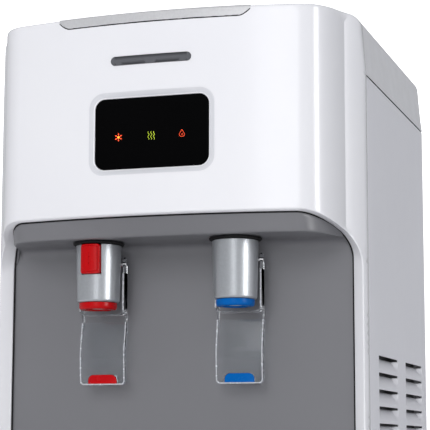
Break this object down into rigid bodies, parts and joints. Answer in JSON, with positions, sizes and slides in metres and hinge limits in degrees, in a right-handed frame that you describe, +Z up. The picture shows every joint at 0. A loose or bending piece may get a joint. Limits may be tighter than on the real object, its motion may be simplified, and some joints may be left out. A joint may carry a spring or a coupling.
{
  "type": "countertop water dispenser",
  "caption": "Countertop hot and cold water dispenser with a bowed white head, black display window, grey alcove, lever taps, drip tray, louvred sides and a top bottle seat.",
  "frame": {"origin": "on the table, under the middle of the whole object's footprint", "axes": "+Z up, the front with the taps faces -Y, +X is the right side as seen from the front"},
  "size_m": [0.31, 0.334, 0.5],
  "materials": {
    "white_shell": "smooth glossy white",
    "grey_liner": "satin grey",
    "silver_trim": "silver-grey lacquer",
    "tap_silver": "satin silver plating",
    "side_panel": "pale grey powder coat",
    "black_lens": "glossy black window",
    "clear_lever": "clear moulded plastic",
    "red_plastic": "glossy red",
    "blue_plastic": "glossy blue",
    "badge_grey": "satin dark grey",
    "rubber": "matte black",
    "black_plastic": "fine-grained black",
    "steel": "plain steel",
    "black_enamel": "black enamel",
    "foam": "white beaded foam",
    "board_green": "green circuit board",
    "inner_plastic": "plain off-white"
  },
  "bodies": {
    "casing": {"base_plate": "steel", "foot_front_left": "rubber", "foot_front_right": "rubber", "foot_rear_left": "rubber", "foot_rear_right": "rubber", "front_frame": "white_shell", "top_cover": "white_shell", "top_trim": "silver_trim", "alcove_liner": "grey_liner", "display_lens": "black_lens", "display_board": "board_green", "badge": "badge_grey", "left_side_panel": "side_panel", "right_side_panel": "side_panel", "back_panel": "side_panel", "panel_screw_1": "steel", "panel_screw_2": "steel", "panel_screw_3": "steel", "panel_screw_4": "steel", "hot_tap_sleeve": "tap_silver", "hot_tap_ring": "red_plastic", "hot_tap_seal": "rubber", "hot_valve_body": "inner_plastic", "hot_lever_pin": "steel", "cold_tap_sleeve": "tap_silver", "cold_tap_ring": "blue_plastic", "cold_tap_seal": "rubber", "cold_valve_body": "inner_plastic", "cold_lever_pin": "steel", "hot_feed_tube": "inner_plastic", "cold_feed_tube": "inner_plastic", "cold_tank": "steel", "cold_tank_foam": "foam", "evaporator_coil": "steel", "hot_tank": "steel", "hot_tank_jacket": "foam", "compressor": "black_enamel", "compressor_mount": "black_enamel", "condenser_tube": "black_enamel", "condenser_bracket_left": "black_enamel", "condenser_bracket_right": "black_enamel", "switch_plate": "black_plastic", "power_inlet": "black_plastic", "drain_plug": "inner_plastic"},
    "drip_tray": {"drip_tray": "grey_liner"},
    "drip_grille": {"drip_grille": "grey_liner"},
    "bottle_seat": {"bottle_seat": "white_shell", "water_guard": "inner_plastic", "seat_seal": "rubber"},
    "hot_lever": {"hot_lever": "clear_lever", "hot_lever_marker": "red_plastic"},
    "cold_lever": {"cold_lever": "clear_lever", "cold_lever_marker": "blue_plastic"},
    "hot_valve_stem": {"hot_valve_stem": "rubber"},
    "cold_valve_stem": {"cold_valve_stem": "rubber"},
    "hot_lock_button": {"hot_lock_button": "red_plastic"},
    "hot_switch": {"hot_switch": "red_plastic"},
    "cold_switch": {"cold_switch": "blue_plastic"}
  },
  "joints": [
    {"name": "hot_lever_hinge", "type": "hinge", "parent": "casing", "child": "hot_lever", "pos_m": [-0.0568, -0.1163, 0.308], "axis": [1, 0, 0], "range_deg": [0, 9], "stiffness_Nm_per_rad": 0.4, "springref_deg": -5.73},
    {"name": "cold_lever_hinge", "type": "hinge", "parent": "casing", "child": "cold_lever", "pos_m": [0.0568, -0.1163, 0.308], "axis": [1, 0, 0], "range_deg": [0, 9], "stiffness_Nm_per_rad": 0.4, "springref_deg": -5.73},
    {"name": "hot_valve_lift", "type": "slide", "parent": "casing", "child": "hot_valve_stem", "axis": [0, 0, 1], "range_m": [0, 0.0025]},
    {"name": "cold_valve_lift", "type": "slide", "parent": "casing", "child": "cold_valve_stem", "axis": [0, 0, 1], "range_m": [0, 0.0025]},
    {"name": "hot_lock_press", "type": "slide", "parent": "casing", "child": "hot_lock_button", "axis": [0, 1, 0], "range_m": [0, 0.0025], "stiffness_N_per_m": 300, "springref_m": -0.001},
    {"name": "drip_tray_lift", "type": "slide", "parent": "casing", "child": "drip_tray", "axis": [0, 0, 1], "range_m": [0, 0.05]},
    {"name": "drip_grille_lift", "type": "slide", "parent": "drip_tray", "child": "drip_grille", "axis": [0, 0, 1], "range_m": [0, 0.025]},
    {"name": "bottle_seat_lift", "type": "slide", "parent": "casing", "child": "bottle_seat", "axis": [0, 0, 1], "range_m": [0, 0.08]},
    {"name": "hot_switch_rocker", "type": "hinge", "parent": "casing", "child": "hot_switch", "pos_m": [-0.1149, 0.1493, 0.13], "axis": [1, 0, 0], "range_deg": [0, 14]},
    {"name": "cold_switch_rocker", "type": "hinge", "parent": "casing", "child": "cold_switch", "pos_m": [-0.0951, 0.1493, 0.13], "axis": [1, 0, 0], "range_deg": [0, 14]}
  ],
  "couplings": [
    {"joint": "hot_valve_lift", "follows": "hot_lever_hinge", "m_per_rad": 0.0159},
    {"joint": "cold_valve_lift", "follows": "cold_lever_hinge", "m_per_rad": 0.0159}
  ]
}
